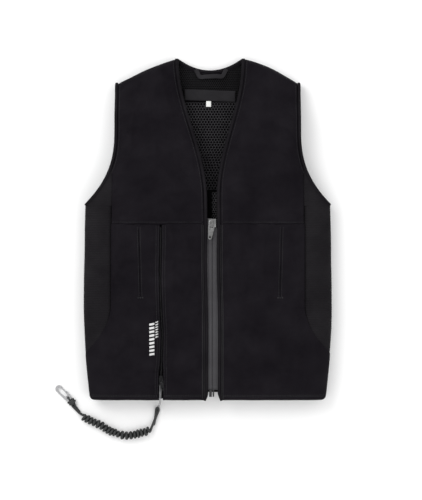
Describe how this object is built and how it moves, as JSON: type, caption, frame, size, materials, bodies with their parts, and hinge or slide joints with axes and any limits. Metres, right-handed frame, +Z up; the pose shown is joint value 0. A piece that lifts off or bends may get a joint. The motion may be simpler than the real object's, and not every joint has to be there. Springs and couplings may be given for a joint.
{
  "type": "inflatable safety vest",
  "caption": "Black inflatable safety vest laid flat on its back, with a front zip, a canister pocket and a curly release lanyard ending in a snap hook.",
  "frame": {"origin": "on the floor under the middle of the laid vest, halfway between the hem and the back neck corners", "axes": "+X to the wearer's left, +Y from the hem to the neck, +Z up out of the front of the vest"},
  "size_m": [0.5, 0.6874, 0.0452],
  "materials": {
    "shell": "matt black softshell with a fine knitted face",
    "side_ribs": "black stretch rib knit",
    "lining_mesh": "black spacer mesh with open holes",
    "airbag_cloth": "grey coated nylon",
    "binding_tape": "black woven elastic binding",
    "neck_band": "dark grey woven cloth",
    "label_cloth": "white satin label",
    "pocket_cloth": "black polyester lining cloth",
    "pocket_zip": "black coil zip",
    "zip_tape": "dark grey woven zip tape",
    "zip_plastic": "black moulded plastic",
    "zip_metal": "satin nickel-grey zinc",
    "dark_zip_metal": "dark lacquered zinc",
    "canister_metal": "zinc-plated steel",
    "seal_rubber": "black nitrile rubber",
    "inflator_plastic": "black glass-filled nylon",
    "trigger_steel": "plain steel",
    "cable_steel": "thin coated steel wire rope",
    "lanyard_cord": "dark curly elastic cord with a satin sleeve",
    "hook_steel": "polished steel"
  },
  "bodies": {
    "root": {"back_shell": "shell", "hem_side_wrap_right": "shell", "hem_side_wrap_left": "shell", "right_chest_panel": "shell", "right_lower_side_panel": "shell", "right_lower_centre_panel": "shell", "left_chest_panel_side": "shell", "left_lower_panel_side": "shell", "side_panel_right": "side_ribs", "side_panel_left": "side_ribs", "back_lining_upper": "lining_mesh", "back_lining_lower": "lining_mesh", "right_front_lining": "lining_mesh", "left_lining_side": "lining_mesh", "back_airbag": "airbag_cloth", "right_front_airbag": "airbag_cloth", "left_shoulder_airbag": "airbag_cloth", "back_neck_binding": "binding_tape", "right_edge_binding": "binding_tape", "left_edge_binding_upper": "binding_tape", "right_armhole_binding": "binding_tape", "left_armhole_binding": "binding_tape", "hanger_loop": "binding_tape", "back_band": "neck_band", "size_label": "label_cloth", "hand_pocket_bag_right": "pocket_cloth", "hand_pocket_bag_left": "pocket_cloth", "canister_pouch": "pocket_cloth", "hand_pocket_zip_right": "pocket_zip", "hand_pocket_zip_left": "pocket_zip", "canister_zip_chain": "pocket_zip", "main_zip_right": "zip_tape", "main_zip_box": "zip_plastic", "canister_seal": "seal_rubber", "inflator_body": "inflator_plastic", "inflator_end_cap": "inflator_plastic", "gas_elbow": "inflator_plastic"},
    "canister": {"co2_canister": "canister_metal"},
    "left_front": {"left_chest_panel_front": "shell", "left_lower_panel_front": "shell", "left_lining_front": "lining_mesh", "left_front_airbag": "airbag_cloth", "left_edge_binding": "binding_tape", "main_zip_left": "zip_tape", "main_zip_pin": "zip_plastic"},
    "zip_slider": {"main_zip_slider": "zip_metal"},
    "zip_pull": {"main_zip_pull": "zip_metal"},
    "canister_slider": {"canister_zip_slider": "dark_zip_metal"},
    "canister_pull": {"canister_zip_pull": "dark_zip_metal"},
    "striker": {"striker": "trigger_steel", "firing_spring": "trigger_steel"},
    "lanyard": {"trigger_ball": "trigger_steel", "cable_ferrule": "trigger_steel", "release_cable": "cable_steel", "lanyard_vest_end": "lanyard_cord", "lanyard_coil": "lanyard_cord", "lanyard_hook_end": "lanyard_cord", "snap_hook_body": "hook_steel", "snap_hook_rivet": "hook_steel"},
    "hook_gate": {"snap_hook_gate": "hook_steel"}
  },
  "joints": [
    {"name": "left_front_open", "type": "hinge", "parent": "root", "child": "left_front", "pos_m": [0.088, -0.0685, 0.0406], "axis": [-0.1533, 0.9882, 0], "range_deg": [0, 170]},
    {"name": "main_zip_slide", "type": "slide", "parent": "root", "child": "zip_slider", "axis": [0, -1, 0], "range_m": [0, 0.288]},
    {"name": "main_zip_pull_flip", "type": "hinge", "parent": "zip_slider", "child": "zip_pull", "pos_m": [0.008, 0.0137, 0.0412], "axis": [-1, 0, 0], "range_deg": [0, 170]},
    {"name": "canister_zip_slide", "type": "slide", "parent": "root", "child": "canister_slider", "axis": [0, 1, 0], "range_m": [0, 0.255]},
    {"name": "canister_zip_pull_flip", "type": "hinge", "parent": "canister_slider", "child": "canister_pull", "pos_m": [-0.084, -0.266, 0.04295], "axis": [-1, 0, 0], "range_deg": [0, 165]},
    {"name": "lanyard_pull", "type": "slide", "parent": "root", "child": "lanyard", "axis": [0, -1, 0], "range_m": [0, 0.03]},
    {"name": "striker_fire", "type": "slide", "parent": "root", "child": "striker", "axis": [0, 1, 0], "range_m": [0, 0.006]},
    {"name": "hook_gate_open", "type": "hinge", "parent": "lanyard", "child": "hook_gate", "pos_m": [-0.25591, -0.29614, 0.002], "axis": [0, 0, 1], "range_deg": [0, 25], "stiffness_Nm_per_rad": 0.02},
    {"name": "canister_turn", "type": "hinge", "parent": "root", "child": "canister", "pos_m": [-0.084, -0.05, 0.0259], "axis": [0, 1, 0], "range_deg": [0, 720]}
  ],
  "couplings": [
    {"joint": "striker_fire", "follows": "lanyard_pull", "ratio": 0.2}
  ]
}
